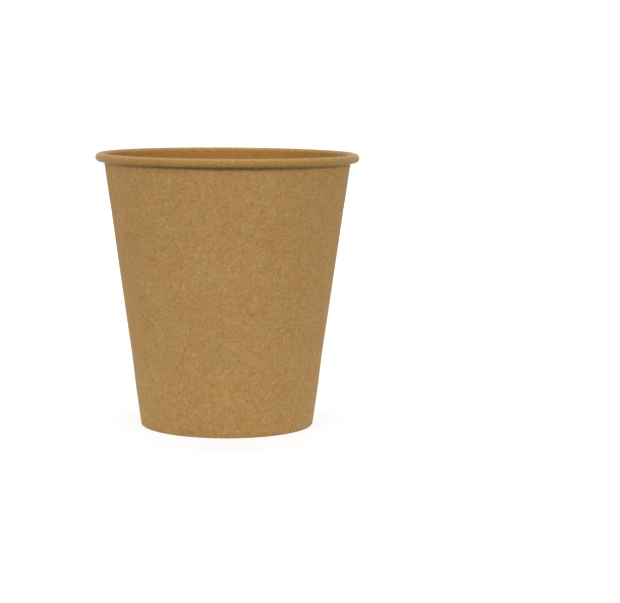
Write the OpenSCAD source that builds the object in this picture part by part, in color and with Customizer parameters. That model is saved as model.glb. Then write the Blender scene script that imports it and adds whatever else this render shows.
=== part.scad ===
// Paper coffee cup: a lapped side wall with a rolled rim, folded round a recessed bottom disc.
// Millimetres, +Z up. The origin is the centre of the ring that the cup stands on.

/* [Overall] */
// Outside diameter across the rolled rim
rim_d = 90; // [76:0.5:110]
// Height from the standing ring to the top of the rim
cup_h = 93.5; // [70:0.5:140]
// Outside diameter of the base band, where its taper meets the ground
base_d = 59.2; // [50:0.2:68]

/* [Paperboard] */
// Thickness of the side wall's paperboard
wall_t = 0.35; // [0.25:0.01:0.45]
// Thickness of the bottom disc's paperboard
disc_t = 0.35; // [0.25:0.01:0.5]
// Glue film on each side of the disc's skirt
glue_gap = 0.03; // [0.02:0.01:0.06]

/* [Rolled rim] */
// Diameter of the outer turn of the curl
curl_d = 3.1; // [2.6:0.1:4]
// Free gap between one turn of the curl and the next
curl_gap = 0.12; // [0.08:0.01:0.2]

/* [Base joint] */
// Height of the disc's underside above the ground
recess_h = 8; // [7.5:0.5:11]
// Inside radius of the bend between the disc and its skirt
disc_bend_r = 0.6; // [0.4:0.1:1]
// Height to which the wall's lower edge is turned up inside the skirt
fold_h = 5.5; // [3.5:0.5:6]
// Gap left between the skirt's edge and the bend of the fold
skirt_gap = 0.3; // [0.2:0.05:1]
// Width of the flat pressed on the standing ring
foot_w = 0.6; // [0.45:0.05:0.7]

/* [Base band] */
// How far the base band stands out from the straight face of the wall
band_proud = 0.27; // [0.1:0.01:0.5]
// Height of the top edge of the base band
band_h = 12.5; // [12:0.5:16]
// Height at which the wall has eased back to its straight face
taper_h = 24; // [20:0.5:32]

/* [Side seam] */
// Width over which the two ends of the blank lap
lap_w = 7; // [5:0.5:9]
// Length beyond the lap over which the outer ply settles, halfway up the cup
settle_w = 6.5; // [5:0.5:9]
// How far the pressed outer ply stands out from the wall
lap_rise = 0.3; // [0.15:0.01:0.35]
// Direction of the seam round the axis, from +X
seam_angle = 15; // [0:1:359]

/* [Hidden] */
$fn = 180;
section_fn = 48;

kraft = [0.67, 0.52, 0.33];
kraft_bottom = [0.62, 0.47, 0.28];

// Computed places are kept to a micrometre, so that faces that meet share one edge
function micron(v) = round(v * 1000) / 1000;

// The curl is a scroll of half turns, each one half a pitch tighter than the last
curl_r = curl_d / 2;
curl_pitch = wall_t + curl_gap;
curl_x = rim_d / 2 - curl_r;
curl_z = cup_h - curl_r;

// Frame of the wall: its origin is the curl's centre, x is the wall's outward normal
// and y runs up the wall. The two outer faces are lines of constant x.
face_x = wall_t - curl_r;
band_x = face_x + band_proud;
foot_to_curl = [curl_x - base_d / 2, curl_z];
taper = atan(foot_to_curl[0] / foot_to_curl[1]) + asin(band_x / norm(foot_to_curl));

// How far up the wall a point at height z lies, on the line of constant x
function up_wall(z, x) = micron((z - curl_z + x * sin(taper)) / cos(taper));

// The same point's distance from the cup's axis
function axis_distance(z, x) = micron(curl_x + (x + (z - curl_z) * sin(taper)) / cos(taper));

// The fold closes round the skirt with one glue film on each side
fold_in_r = disc_t / 2 + glue_gap;
fold_out_r = fold_in_r + wall_t;
fold_x = band_x - fold_out_r;
fold_y = up_wall(sqrt(pow(fold_out_r, 2) - pow(foot_w / 2, 2)), fold_x);

// The bend of the disc lies against the band's inner face
bend_out_r = disc_bend_r + disc_t;
skirt_x = band_x - wall_t - glue_gap;
bend_z = recess_h - disc_bend_r;
bend_x = axis_distance(bend_z, skirt_x - bend_out_r);
skirt_l = up_wall(bend_z, skirt_x - bend_out_r) - fold_y - skirt_gap;

// The outer ply of the lap is turned about an axis beside the cup's own
mid_r = axis_distance(cup_h / 2, face_x);
settle_a = asin((lap_w / 2 + settle_w) / mid_r);
ply_shift = micron(lap_rise * (2 * mid_r + lap_rise)
                   / (2 * (mid_r * (1 - cos(settle_a)) + lap_rise)));
// Both plies run on a little way past each other where they meet again
ply_end_a = settle_a - 0.9;
ply_start_a = settle_a - 2;
beyond = 1;

module at_wall() { translate([curl_x, curl_z]) rotate(-taper) children(); }

// All that lies above the line y = 0, or below it
module above(size) { translate([-size, 0]) square([2 * size, size]); }
module below(size) { translate([-size, -size]) square([2 * size, size]); }

// Paperboard rolled round, with its outer face at radius r
module turn(r) {
    difference() {
        circle(r, $fn = section_fn);
        circle(r - wall_t, $fn = section_fn);
    }
}

// Over the top, back under to the wall, and tucked up inside
module curl_section() {
    intersection() {
        turn(curl_r);
        above(curl_d);
    }
    translate([curl_pitch / 2, 0]) intersection() {
        turn(curl_r - curl_pitch / 2);
        below(curl_d);
    }
    intersection() {
        turn(curl_r - curl_pitch);
        above(curl_d);
    }
}

// The wall from the fold up to the curl: its inner face is the outer one moved in
module ply_section() {
    face = [
        [band_x, fold_y],
        [band_x, up_wall(band_h, band_x)],
        [face_x, up_wall(taper_h, face_x)],
        [face_x, 0]
    ];
    inward = [wall_t, 0];
    polygon(concat(face, [for (i = [len(face) - 1:-1:0]) face[i] - inward]));
}

// The wall's lower edge, turned in under the skirt and up behind it
module fold_section() {
    translate([fold_x, fold_y]) {
        intersection() {
            turn(fold_out_r);
            below(2 * fold_out_r);
        }
        translate([-fold_out_r, 0]) square([wall_t, up_wall(fold_h, fold_x) - fold_y]);
    }
}

// The outer ply of the lap, with the curl and the bend of the fold pressed solid
module outer_ply_section() {
    ply_section();
    intersection() {
        circle(curl_r, $fn = section_fn);
        above(curl_d);
    }
    translate([curl_pitch / 2, 0]) intersection() {
        circle(curl_r - curl_pitch / 2, $fn = section_fn);
        below(curl_d);
    }
    translate([fold_x, fold_y]) intersection() {
        circle(fold_out_r, $fn = section_fn);
        below(2 * fold_out_r);
    }
}

// What stands on the ground, with the standing ring pressed flat
module above_ground() {
    intersection() {
        at_wall() children();
        square([rim_d, cup_h + beyond]);
    }
}

// Slice of the wall from the plane x = from_x round to the ray at end_a, with the seam at +Y
module seam_slice(from_x, end_a, z0, z1) {
    near = base_d / 4;
    far = rim_d;
    translate([0, 0, z0]) linear_extrude(height = z1 - z0) polygon([
        [from_x, near], [from_x, far], [far * tan(end_a), far], [near * tan(end_a), near]
    ]);
}

module outer_ply() {
    intersection() {
        translate([0, ply_shift, 0]) rotate_extrude()
            translate([lap_rise - ply_shift, 0]) above_ground() outer_ply_section();
        seam_slice(-lap_w / 2, ply_end_a, -beyond, cup_h + beyond);
    }
}

module side_wall() {
    color(kraft) rotate(seam_angle - 90) {
        difference() {
            rotate_extrude() above_ground() {
                curl_section();
                ply_section();
                fold_section();
            }
            seam_slice(lap_w / 2, ply_start_a, band_h, curl_z - curl_r);
        }
        outer_ply();
    }
}

// A flat disc whose edge is bent down as a skirt into the fold
module bottom_disc() {
    color(kraft_bottom) rotate_extrude() {
        translate([0, recess_h]) square([bend_x, disc_t]);
        translate([bend_x, bend_z]) {
            intersection() {
                difference() {
                    circle(bend_out_r, $fn = section_fn);
                    circle(disc_bend_r, $fn = section_fn);
                }
                translate([0, -bend_out_r]) square(2 * bend_out_r);
                rotate(-taper) above(2 * bend_out_r);
            }
            rotate(-taper) translate([disc_bend_r, -skirt_l]) square([disc_t, skirt_l]);
        }
    }
}

side_wall();
bottom_disc();
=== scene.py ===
import math

import bpy
import numpy as np
from mathutils import Matrix, Vector


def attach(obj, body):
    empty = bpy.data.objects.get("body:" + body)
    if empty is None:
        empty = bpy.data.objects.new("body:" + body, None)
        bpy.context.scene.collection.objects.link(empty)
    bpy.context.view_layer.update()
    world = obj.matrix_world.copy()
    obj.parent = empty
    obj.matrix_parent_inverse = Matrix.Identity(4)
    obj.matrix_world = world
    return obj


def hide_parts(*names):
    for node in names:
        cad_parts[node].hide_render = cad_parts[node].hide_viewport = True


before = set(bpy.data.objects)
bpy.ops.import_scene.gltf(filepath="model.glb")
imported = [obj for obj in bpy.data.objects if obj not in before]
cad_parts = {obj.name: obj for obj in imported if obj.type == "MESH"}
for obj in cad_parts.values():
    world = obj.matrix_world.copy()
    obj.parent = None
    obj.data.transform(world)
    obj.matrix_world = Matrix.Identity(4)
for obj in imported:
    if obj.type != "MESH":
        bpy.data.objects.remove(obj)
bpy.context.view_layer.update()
print("packed frame:", ", ".join(sorted(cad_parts)))

mm = 0.001


# Paperboard looks

def linear(red, green, blue):
    # An sRGB colour in the linear values that sockets take
    def channel(value):
        value /= 255
        return value / 12.92 if value <= 0.04045 else ((value + 0.055) / 1.055) ** 2.4
    return (channel(red), channel(green), channel(blue), 1.0)


class Shade:
    # A socket of a node tree; sums and products of shades add their Math nodes
    def __init__(self, tree, socket=None):
        self.tree = tree
        self.socket = socket

    def node(self, nodeType, settings=None, sockets=None, output=0):
        made = self.tree.nodes.new(nodeType)
        for name, value in (settings or {}).items():
            setattr(made, name, value)
        for name, value in (sockets or {}).items():
            if isinstance(value, Shade):
                self.tree.links.new(value.socket, made.inputs[name])
            else:
                made.inputs[name].default_value = value
        return Shade(self.tree, made.outputs[output])

    def sameNode(self, output):
        # Another output of the node that this shade comes from
        return Shade(self.tree, self.socket.node.outputs[output])

    def calc(self, operation, *others):
        values = dict(enumerate((self, *others)))
        return self.node("ShaderNodeMath", {"operation": operation}, values)

    def __add__(self, other):
        return self.calc("ADD", other)

    def __sub__(self, other):
        return self.calc("SUBTRACT", other)

    def __rsub__(self, other):
        return self.calc("MULTIPLY_ADD", -1, other)

    def __mul__(self, other):
        return self.calc("MULTIPLY", other)

    __radd__ = __add__
    __rmul__ = __mul__

    def ramp(self, low, high):
        # 0 below low, 1 above high, smooth in between
        return self.node("ShaderNodeMapRange", {"interpolation_type": "SMOOTHSTEP"},
                         {"Value": self, "From Min": low, "From Max": high})

    def blend(self, colourA, colourB):
        # colourA where this shade is 0, colourB where it is 1
        return self.node("ShaderNodeMix", {"data_type": "RGBA"},
                         {0: self, 6: colourA, 7: colourB}, output=2)

    def into(self, target):
        self.tree.links.new(self.socket, target)


kraftBoard = {
    "outside": {"pale": linear(211, 174, 122), "dark": linear(138, 93, 17), "clearness": 1.0,
                "roughness": 0.85, "gloss": 0.15, "sheen": 0.08},
    "inside": {"pale": linear(202, 156, 94), "dark": linear(116, 66, 0), "clearness": 0.6,
               "roughness": 0.7, "gloss": 0.06, "sheen": 0.0},
    "cutEdge": {"pale": linear(228, 202, 160), "dark": linear(160, 124, 76), "clearness": 1.0,
                "roughness": 0.95, "gloss": 0.1, "sheen": 0.1},
    "sheenRoughness": 0.5,
    "warmTint": linear(255, 251, 237), "coolTint": linear(252, 255, 251),
    "tintSize": 7 * mm, "tintRange": (0.3, 0.7),
    # each pattern's size, and how much it does to the tone, the roughness and the relief
    "noiseRoughness": 0.55,
    "cloudSize": 14 * mm, "cloudDepth": 0.12,
    "mottleSize": 3.4 * mm, "mottleDepth": 0.2, "mottleRoughness": 0.1,
    "grainSize": 0.6 * mm, "grainDepth": 0.6, "grainRoughness": 0.25,
    "fibreSize": 1.8 * mm, "fibreDepth": 0.14, "fibreRelief": 0.5,
    "fibreWidth": (0.02, 0.07), "breakSize": 1.26 * mm, "breakRange": (0.48, 0.56),
    "speckSize": 2.2 * mm, "speckDepth": 0.34, "speckRelief": 0.4,
    "speckSpot": (0.04, 0.13), "speckChance": (0.6, 0.95),
    "bumpHeight": 0.035 * mm, "bumpStrength": 0.6,
    # the rolled rim begins between these radii and these heights; its paler tone is a painted
    # highlight, and the curling tool's rubbing gives it its tint and its gloss
    "rimPaintedHighlight": 0.03, "rimTint": linear(247, 254, 235),
    "rimPolish": 0.5, "polishRoughness": 0.4,
    "rimRadius": (41.7 * mm, 42.4 * mm), "rimHeight": (89.3 * mm, 90.3 * mm),
}
noiseMiddle = 0.5  # a noise's values lie evenly round it
middleTone = 0.5  # halfway from dark to pale


def noise(place, size, detail, shift):
    # Each noise has its own shift, so that no two patterns fall together
    spot = place.node("ShaderNodeMapping", sockets={"Vector": place, "Location": shift})
    return place.node("ShaderNodeTexNoise", sockets={
        "Vector": spot, "Scale": 1 / size, "Detail": detail,
        "Roughness": kraftBoard["noiseRoughness"]})


def fibres(place, shift):
    # Curled fibres lie where a smooth noise crosses its middle, in short broken lengths
    look = kraftBoard
    strands = noise(place, look["fibreSize"], detail=2, shift=(shift, 0, 0.7)) - noiseMiddle
    strands = 1 - strands.calc("ABSOLUTE").ramp(*look["fibreWidth"])
    lengths = noise(place, look["breakSize"], detail=1, shift=(0.4, 0.9, shift))
    return strands * lengths.ramp(*look["breakRange"])


def specks(place):
    # A few dark specks, each a small spot in its own cell
    look = kraftBoard
    cells = place.node("ShaderNodeTexVoronoi", sockets={
        "Vector": place, "Scale": 1 / look["speckSize"]})
    chance = place.node("ShaderNodeSeparateColor", sockets={"Color": cells.sameNode("Color")})
    return (1 - cells.ramp(*look["speckSpot"])) * chance.ramp(*look["speckChance"])


def rolledRim(place):
    # 1 on the rolled rim, 0 on the rest of the board
    spread = place.node("ShaderNodeSeparateXYZ", sockets={"Vector": place})
    across, back, up = (spread.sameNode(name) for name in "XYZ")
    fromAxis = (across * across + back * back).calc("SQRT")
    return fromAxis.ramp(*kraftBoard["rimRadius"]) * up.ramp(*kraftBoard["rimHeight"])


def boardMaterial(name, face):
    look = kraftBoard
    material = bpy.data.materials.new(name)
    material.use_nodes = True
    tree = material.node_tree
    inputs = tree.nodes["Principled BSDF"].inputs
    place = Shade(tree).node("ShaderNodeTexCoord", output="Object")

    tint = noise(place, look["tintSize"], detail=3, shift=(0.5, 0.1, 0))
    cloud = noise(place, look["cloudSize"], detail=2, shift=(0, 0, 0)) - noiseMiddle
    mottle = noise(place, look["mottleSize"], detail=3, shift=(0.3, 0, 0)) - noiseMiddle
    grain = noise(place, look["grainSize"], detail=3, shift=(0, 0.2, 0)) - noiseMiddle
    fibre = fibres(place, 0.2) - fibres(place, 0.6)  # pale ones and dark ones
    speck = specks(place)
    rim = rolledRim(place)

    pattern = (look["cloudDepth"] * cloud + look["mottleDepth"] * mottle
               + look["grainDepth"] * grain + look["fibreDepth"] * fibre
               - look["speckDepth"] * speck)
    clearness = face["clearness"] + (1 - face["clearness"]) * rim
    # the rim's slightly paler tone is a painted highlight
    tone = middleTone + look["rimPaintedHighlight"] * rim + clearness * pattern
    paper = tone.blend(face["dark"], face["pale"])
    hue = tint.ramp(*look["tintRange"]).blend(look["warmTint"], look["coolTint"])
    hue = rim.blend(hue, look["rimTint"])
    paper = paper.node("ShaderNodeMix", {"data_type": "RGBA", "blend_type": "MULTIPLY"},
                       {0: 1.0, 6: paper, 7: hue}, output=2)
    paper.into(inputs["Base Color"])

    roughness = (face["roughness"] + look["grainRoughness"] * grain
                 + look["mottleRoughness"] * mottle)
    roughness.into(inputs["Roughness"])

    relief = grain + look["fibreRelief"] * fibre - look["speckRelief"] * speck
    bump = place.node("ShaderNodeBump", sockets={
        "Height": relief, "Strength": look["bumpStrength"], "Distance": look["bumpHeight"]})
    bump.into(inputs["Normal"])

    polish = rim * look["rimPolish"]
    polish.into(inputs["Coat Weight"])
    inputs["Coat Roughness"].default_value = look["polishRoughness"]
    inputs["Sheen Weight"].default_value = face["sheen"]
    inputs["Sheen Roughness"].default_value = look["sheenRoughness"]
    inputs["Specular IOR Level"].default_value = face["gloss"]
    return material


outsideBoard = boardMaterial("kraftOutside", kraftBoard["outside"])
insideBoard = boardMaterial("kraftInside", kraftBoard["inside"])
cutEdge = boardMaterial("rawCutEdge", kraftBoard["cutEdge"])
print("paperboard looks made")


# Modelling helpers

def startChain(name, radius, height):
    # One vertex, ready to be drawn out into a section in the XZ plane
    bpy.ops.object.select_all(action="DESELECT")
    bpy.ops.mesh.primitive_plane_add(size=1 * mm)
    chain = bpy.context.object
    chain.name = chain.data.name = name
    bpy.ops.object.mode_set(mode="EDIT")
    bpy.ops.mesh.merge(type="CENTER")
    bpy.ops.transform.translate(value=(radius, 0, height))
    return chain


def drawLine(run, rise, steps):
    step = (run / steps, 0, rise / steps)
    for _ in range(steps):
        bpy.ops.mesh.extrude_vertices_move(TRANSFORM_OT_translate={"value": step})


def drawTurn(centre, steps, turn):
    bpy.ops.mesh.spin(steps=steps, angle=turn, center=(centre[0], 0, centre[1]), axis=(0, 1, 0))


def walkChain(mesh):
    # The vertices of an open chain, from its first end to its last
    joined = {vertex.index: [] for vertex in mesh.vertices}
    for edge in mesh.edges:
        a, b = edge.vertices
        joined[a].append(b)
        joined[b].append(a)
    order = [0]
    while len(order) < len(mesh.vertices):
        order.append(next(v for v in joined[order[-1]] if v not in order[-2:]))
    return order


def smooth(value, low, high):
    # The same for numbers as ramp is for shades
    t = np.clip((value - low) / (high - low), 0, 1)
    return t * t * (3 - 2 * t)


def closeBoard(board, distance, outwards):
    # Joins the sheet's doubles, and turns its faces so that the one at the least distance
    # points outwards
    bpy.ops.object.mode_set(mode="EDIT")
    bpy.ops.mesh.select_all(action="SELECT")
    bpy.ops.mesh.remove_doubles(threshold=0.001 * mm)
    bpy.ops.mesh.normals_make_consistent(inside=False)
    bpy.ops.object.mode_set(mode="OBJECT")
    nearest = min(board.data.polygons, key=distance)
    if nearest.normal.dot(Vector(outwards)) < 0:
        bpy.ops.object.mode_set(mode="EDIT")
        bpy.ops.mesh.select_all(action="SELECT")
        bpy.ops.mesh.flip_normals()
        bpy.ops.object.mode_set(mode="OBJECT")


def finishBoard(board, thickness, faces, nodeName):
    # Gives the sheet its thickness and the finishes of its two faces and its raw edge
    for material in (*faces, cutEdge):
        board.data.materials.append(material)
    solid = board.modifiers.new("thickness", "SOLIDIFY")
    solid.thickness = thickness
    solid.offset = -1
    solid.use_even_offset = True
    solid.material_offset = 1
    solid.material_offset_rim = 2
    bpy.ops.object.modifier_apply(modifier="thickness")
    bpy.ops.object.shade_smooth_by_angle(angle=math.radians(40))
    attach(board, "root")
    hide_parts(nodeName)


# The side wall: one strip that laps itself at the seam,
# rolled over at the rim and folded at the foot

wall = {
    "rimDiameter": 90 * mm, "height": 93.5 * mm, "baseDiameter": 59.2 * mm,
    "thickness": 0.35 * mm,
    "curlDiameter": 3.1 * mm, "curlGap": 0.12 * mm,
    "bandProud": 0.27 * mm, "bandHeight": 12.5 * mm, "taperHeight": 24 * mm,
    "foldRadius": 0.555 * mm, "foldHeight": 5.5 * mm, "footWidth": 0.6 * mm,
    # the fold holds the rows up to this far out from the innermost one and above its edge
    "foldReach": 1.4 * mm, "foldMargin": 0.5 * mm,
    "seamAngle": math.radians(15),  # from +X towards +Y
    "lapWidth": 7 * mm, "lapMargin": 0.4 * mm, "settleWidth": 6.5 * mm,
    "lapRise": 0.36 * mm, "innerSink": 0.02 * mm,
    # the rim's bump fades between these distances from the seam, and comes up between these
    # depths below the top
    "rimBump": 0.15 * mm, "bumpReach": (4 * mm, 10 * mm), "bumpDepth": (6 * mm, 3 * mm),
    # ribs are pressed into the fold, one to every few columns, and fade in and out between
    # these heights
    "ribHeight": 0.12 * mm, "ribColumns": 4,
    "ribStart": (1.2 * mm, 2.0 * mm), "ribEnd": (4.6 * mm, 5.3 * mm),
    "columns": 376, "tuckSteps": 6, "bendSteps": 10,
    "bandSteps": 6, "easeSteps": 2, "faceSteps": 14, "curlSteps": 14,
}

curlRadius = wall["curlDiameter"] / 2
curlCentre = (wall["rimDiameter"] / 2 - curlRadius, wall["height"] - curlRadius)
facePlane = wall["thickness"] - curlRadius
bandPlane = facePlane + wall["bandProud"]
footToCurl = (curlCentre[0] - wall["baseDiameter"] / 2, curlCentre[1])
taper = math.atan2(*footToCurl) + math.asin(bandPlane / math.hypot(*footToCurl))


def atWall(across, along):
    # From the wall's own frame, centred on the curl, to radius and height
    return (curlCentre[0] + across * math.cos(taper) + along * math.sin(taper),
            curlCentre[1] - across * math.sin(taper) + along * math.cos(taper))


def alongWall(height, across):
    return (height - curlCentre[1] + across * math.sin(taper)) / math.cos(taper)


# The centre of the fold's bend, low enough for the pressed foot
foldCentreHeight = math.sqrt(wall["foldRadius"] ** 2 - (wall["footWidth"] / 2) ** 2)
foldAcross = bandPlane - wall["foldRadius"]
foldAlong = alongWall(foldCentreHeight, foldAcross)


def drawWall(acrossFrom, alongFrom, acrossTo, alongTo, steps):
    start, end = atWall(acrossFrom, alongFrom), atWall(acrossTo, alongTo)
    drawLine(end[0] - start[0], end[1] - start[1], steps)


def makeWall():
    tuckAcross = foldAcross - wall["foldRadius"]
    tuckTop = alongWall(wall["foldHeight"], foldAcross)
    bandTop = alongWall(wall["bandHeight"], bandPlane)
    taperTop = alongWall(wall["taperHeight"], facePlane)
    scroll = (wall["thickness"] + wall["curlGap"]) / 2

    board = startChain("sideWall", *atWall(tuckAcross, tuckTop))
    drawWall(tuckAcross, tuckTop, tuckAcross, foldAlong, wall["tuckSteps"])
    drawTurn(atWall(foldAcross, foldAlong), wall["bendSteps"], math.pi)
    drawWall(bandPlane, foldAlong, bandPlane, bandTop, wall["bandSteps"])
    drawWall(bandPlane, bandTop, facePlane, taperTop, wall["easeSteps"])
    drawWall(facePlane, taperTop, facePlane, 0, wall["faceSteps"])
    for across in (0, scroll, 0):
        drawTurn(atWall(across, 0), wall["curlSteps"], -math.pi)
    bpy.ops.object.mode_set(mode="OBJECT")

    mesh = board.data
    order = walkChain(mesh)
    section = np.array([(mesh.vertices[v].co.x, mesh.vertices[v].co.z) for v in order])
    section[:, 1] = np.maximum(section[:, 1], 0)  # the standing ring is pressed flat
    rowOf = np.empty(len(order), int)
    rowOf[order] = np.arange(len(order))

    # Spun past a full turn, so that its two ends stay apart until they are laid over each other
    bpy.ops.object.mode_set(mode="EDIT")
    bpy.ops.mesh.select_all(action="SELECT")
    bpy.ops.mesh.spin(steps=wall["columns"], angle=math.radians(370), center=(0, 0, 0),
                      axis=(0, 0, 1), use_auto_merge=False)
    bpy.ops.object.mode_set(mode="OBJECT")
    shapeWall(mesh, section, rowOf)
    trimInnerPly(mesh, section, rowOf)

    middle = wall["height"] / 2
    closeBoard(board, lambda face: face.center.y + abs(face.center.z - middle), (0, -1, 0))
    finishBoard(board, wall["thickness"], (outsideBoard, insideBoard),
                "side_wall")
    return board


def shapeWall(mesh, section, rowOf):
    # The lap: its outer ply rides over the inner one, and both rise a little at the rim
    count, columns = len(section), wall["columns"]
    vertices = np.arange(len(mesh.vertices))
    row, column = rowOf[vertices % count], vertices // count
    turn = column / columns
    outerHalf = turn > 0.5  # the half of the strip that ends in the outer ply
    radius, height = section[row, 0], section[row, 1]

    along = np.gradient(section, axis=0)
    along /= np.linalg.norm(along, axis=1)[:, None]
    outward = np.stack([along[:, 1], -along[:, 0]], 1)  # the sheet's outer side

    half = np.arcsin(wall["lapWidth"] / 2 / radius)
    angle = half - turn * (2 * math.pi + 2 * half)  # measured from the seam
    fromEnd = (angle + 2 * math.pi) * radius

    foldRows = section[:, 0] < section[:, 0].min() + wall["foldReach"]
    foldRows &= section[:, 1] < wall["foldHeight"] + wall["foldMargin"]
    rise = np.where(foldRows, np.clip(outward[:, 0], 0, 1), 1)[row]
    lapEnd = wall["lapWidth"] / 2 + wall["lapMargin"]
    settled = lapEnd + wall["settleWidth"]
    lift = wall["lapRise"] * rise * (1 - smooth(fromEnd, lapEnd, settled))
    # In the fold the inner ply lies a hair deeper, so that the pressed plies share no plane
    sink = wall["innerSink"] * (1 - smooth(-angle * radius, lapEnd, settled))
    lift = np.where(outerHalf, lift, -sink * foldRows[row])

    tuckRows = foldRows & (outward[:, 0] < -0.9)  # those that face the axis squarely
    rib = 0.5 - 0.5 * np.cos(2 * math.pi * column / wall["ribColumns"])
    pressed = smooth(height, *wall["ribStart"]) * (1 - smooth(height, *wall["ribEnd"]))
    lift += wall["ribHeight"] * rib * pressed * tuckRows[row]

    radius = radius + lift * outward[row, 0]
    height = height + lift * outward[row, 1]
    fromSeam = np.abs(np.where(outerHalf, angle + 2 * math.pi, angle) * radius)
    bump = wall["rimBump"] * (1 - smooth(fromSeam, *wall["bumpReach"]))
    bumpHeights = (wall["height"] - depth for depth in wall["bumpDepth"])
    bump = bump * smooth(section[row, 1], *bumpHeights)

    around = wall["seamAngle"] - angle
    place = np.stack([radius * np.cos(around) + bump * math.cos(wall["seamAngle"]),
                      radius * np.sin(around) + bump * math.sin(wall["seamAngle"]),
                      np.maximum(height, 0)], 1)
    mesh.vertices.foreach_set("co", place.astype(np.float32).ravel())
    mesh.update()


def trimInnerPly(mesh, section, rowOf):
    # Under the lap, the inner ply stops short of the fold and of the curl's last turn
    count = len(section)
    foldEnd = wall["tuckSteps"] + wall["bendSteps"] + 1
    lastTurn = count - 1 - wall["curlSteps"]
    half = np.arcsin(wall["lapWidth"] / 2 / section[:, 0])
    lapColumns = wall["columns"] * half / (math.pi + half)
    bpy.ops.object.mode_set(mode="EDIT")
    bpy.ops.mesh.select_all(action="DESELECT")
    bpy.ops.mesh.select_mode(type="FACE")
    bpy.ops.object.mode_set(mode="OBJECT")
    for face in mesh.polygons:
        rows = [rowOf[v % count] for v in face.vertices]
        column = max(v // count for v in face.vertices)
        cutAway = max(rows) <= foldEnd or min(rows) >= lastTurn
        face.select = bool(cutAway and column <= lapColumns[rows].min())
    bpy.ops.object.mode_set(mode="EDIT")
    bpy.ops.mesh.delete(type="FACE")
    bpy.ops.mesh.select_mode(type="VERT")
    bpy.ops.object.mode_set(mode="OBJECT")


sideWall = makeWall()
print("side wall:", len(sideWall.data.polygons), "faces")


# The bottom: a disc whose edge is bent down as a skirt into the fold

disc = {
    "underside": 8 * mm, "thickness": 0.35 * mm, "bendRadius": 0.6 * mm,
    "glueGap": 0.03 * mm, "skirtGap": 0.3 * mm,
    "segments": 188, "bendSteps": 8,
    "rings": [ring * mm for ring in (27.6, 26, 22, 17, 12, 7, 3, 1)],
    "crease": 0.05 * mm, "creaseCounts": (47, 31), "creaseReach": (25 * mm, 27.5 * mm),
    "sag": 0.12 * mm, "sagReach": (8 * mm, 28 * mm),
}


def makeDisc():
    skirtAcross = bandPlane - wall["thickness"] - disc["glueGap"]
    bendOuter = disc["bendRadius"] + disc["thickness"]
    bendHeight = disc["underside"] - disc["bendRadius"]
    bendAlong = alongWall(bendHeight, skirtAcross - bendOuter)
    bendCentre = atWall(skirtAcross - bendOuter, bendAlong)

    rings = [atWall(skirtAcross, foldAlong + disc["skirtGap"]), atWall(skirtAcross, bendAlong)]
    for step in range(1, disc["bendSteps"] + 1):
        turn = -taper + (math.pi / 2 + taper) * step / disc["bendSteps"]
        rings.append((bendCentre[0] + bendOuter * math.cos(turn),
                      bendCentre[1] + bendOuter * math.sin(turn)))
    top = disc["underside"] + disc["thickness"]
    rings += [(ring, top) for ring in disc["rings"]]

    bpy.ops.object.select_all(action="DESELECT")
    bpy.ops.mesh.primitive_circle_add(vertices=disc["segments"], radius=rings[0][0])
    board = bpy.context.object
    board.name = board.data.name = "bottomDisc"
    bpy.ops.object.mode_set(mode="EDIT")
    bpy.ops.transform.translate(value=(0, 0, rings[0][1]))
    for (radius, height), (nextRadius, nextHeight) in zip(rings, rings[1:]):
        rise = (0, 0, nextHeight - height)
        bpy.ops.mesh.extrude_region_move(TRANSFORM_OT_translate={"value": rise})
        share = nextRadius / radius
        bpy.ops.transform.resize(value=(share, share, 1), center_override=(0, 0, nextHeight))
    bpy.ops.mesh.extrude_region_move()
    bpy.ops.mesh.merge(type="CENTER")  # the disc's middle
    closeBoard(board, lambda face: face.center.xy.length, (0, 0, 1))
    creaseDisc(board.data, top)
    finishBoard(board, disc["thickness"], (insideBoard, outsideBoard),
                "bottom_disc")
    return board


def creaseDisc(mesh, top):
    # Drawing the edge down leaves short radial creases, and the middle sags a little
    many, few = disc["creaseCounts"]
    for vertex in mesh.vertices:
        if vertex.co.z < top - 0.01 * mm:
            continue  # on the bend or the skirt
        radius = vertex.co.xy.length
        angle = math.atan2(vertex.co.y, vertex.co.x)
        crease = math.sin(angle * many) * math.sin(angle * few + 1)
        crease *= float(smooth(radius, *disc["creaseReach"]))
        sag = float(1 - smooth(radius, *disc["sagReach"]))
        vertex.co.z -= disc["crease"] * abs(crease) + disc["sag"] * sag


bottomDisc = makeDisc()
print("bottom disc:", len(bottomDisc.data.polygons), "faces")


# Floor, white surround and lamps

studio = {
    "surround": 0.28,
    "floorSize": 6, "floorColour": 0.32,
    "floorGlow": (0.755, 1.0), "glowReach": (0.3, 0.9),
    "floorBounce": (0.62, 0.2), "bounceReach": (0.04, 0.16),
    "lampDistance": 1.1, "lampWidth": 0.9,
    # each strip lamp's direction from the front towards the right, its elevation, height and
    # watts, and whether it shows as a shine
    "lamps": ((-36, 23, 0.26, 5.5, False), (36, 23, 0.26, 5.2, False),
              (108, 0, 0.09, 2.8, False), (-108, 0, 0.09, 2.8, False),
              (180, 8, 0.26, 4.0, False), (180, 80, 0.26, 5.5, True)),
}


def grey(level):
    return (level, level, level, 1)


def seenDirectly(shade):
    path = shade.node("ShaderNodeLightPath")
    camera, glossy, through = (path.sameNode(name) for name in (
        "Is Camera Ray", "Is Glossy Ray", "Is Transmission Ray"))
    return camera.calc("MAXIMUM", glossy.calc("MAXIMUM", through))


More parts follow.
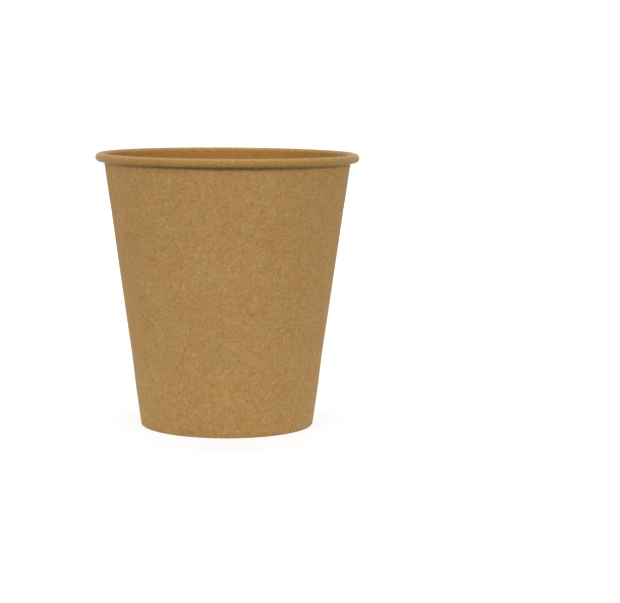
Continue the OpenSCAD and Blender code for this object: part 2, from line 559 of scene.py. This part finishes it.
def makeFloor():
    bpy.ops.object.select_all(action="DESELECT")
    bpy.ops.mesh.primitive_plane_add(size=studio["floorSize"], location=(0, 0, 0))
    floor = bpy.context.object
    floor.name = "paleFloor"
    material = bpy.data.materials.new("paleFloor")
    material.use_nodes = True
    tree = material.node_tree
    tree.nodes.remove(tree.nodes["Principled BSDF"])
    shade = Shade(tree)
    seen = seenDirectly(shade)
    spot = shade.node("ShaderNodeTexCoord", output="Object")
    distance = spot.node("ShaderNodeVectorMath", {"operation": "LENGTH"}, {0: spot},
                         output="Value")

    # The light that the floor throws back at the cup fades with the distance from it
    nearBounce, farBounce = (grey(level) for level in studio["floorBounce"])
    bounce = distance.ramp(*studio["bounceReach"]).blend(nearBounce, farBounce)
    colour = seen.blend(bounce, grey(studio["floorColour"]))
    lit = shade.node("ShaderNodeBsdfDiffuse", sockets={"Color": colour})
    nearGlow, farGlow = studio["floorGlow"]
    strength = nearGlow + (farGlow - nearGlow) * distance.ramp(*studio["glowReach"])
    glow = shade.node("ShaderNodeEmission", sockets={
        "Color": grey(1), "Strength": seen * strength})
    both = shade.node("ShaderNodeAddShader", sockets={0: lit, 1: glow})
    both.into(tree.nodes["Material Output"].inputs["Surface"])
    floor.data.materials.append(material)


def makeSurround():
    world = bpy.data.worlds.new("whiteSurround")
    bpy.context.scene.world = world
    world.use_nodes = True
    tree = world.node_tree
    colour = seenDirectly(Shade(tree)).blend(grey(studio["surround"]), grey(1))
    colour.into(tree.nodes["Background"].inputs["Color"])


def makeLamps():
    reach = studio["lampDistance"]
    for number, (turn, elevation, lampHeight, watts, shines) in enumerate(studio["lamps"], 1):
        turn, elevation = math.radians(turn), math.radians(elevation)
        place = (reach * math.cos(elevation) * math.sin(turn),
                 -reach * math.cos(elevation) * math.cos(turn),
                 wall["height"] / 2 + reach * math.sin(elevation))
        bpy.ops.object.light_add(type="AREA", location=place)
        lamp = bpy.context.object
        lamp.name = "stripLamp" + str(number)
        lamp.data.shape = "RECTANGLE"
        lamp.data.size = studio["lampWidth"]
        lamp.data.size_y = lampHeight
        lamp.data.energy = watts
        lamp.visible_glossy = shines
        lamp.rotation_mode = "QUATERNION"
        lamp.rotation_quaternion = lamp.location.to_track_quat("Z", "Y")


makeFloor()
makeSurround()
makeLamps()
print("studio lit")


# Camera at the photograph's viewing angle

lens = {
    "place": (0, -0.67764, 0.12424), "focal": 114.85, "sensor": 36, "clip": (0.01, 20),
    "pitch": math.radians(6.88), "yaw": math.radians(2.411), "roll": math.radians(0.453),
}
cameraData = bpy.data.cameras.new("photoView")
camera = bpy.data.objects.new("photoView", cameraData)
bpy.context.scene.collection.objects.link(camera)
bpy.context.scene.camera = camera
cameraData.lens = lens["focal"]
cameraData.sensor_width = lens["sensor"]
cameraData.clip_start, cameraData.clip_end = lens["clip"]
camera.matrix_world = (Matrix.Translation(lens["place"])
                       @ Matrix.Rotation(-lens["yaw"], 4, "Z")
                       @ Matrix.Rotation(math.pi / 2 - lens["pitch"], 4, "X")
                       @ Matrix.Rotation(lens["roll"], 4, "Z"))
print("camera placed")

bpy.context.scene.view_settings.view_transform = "Standard"
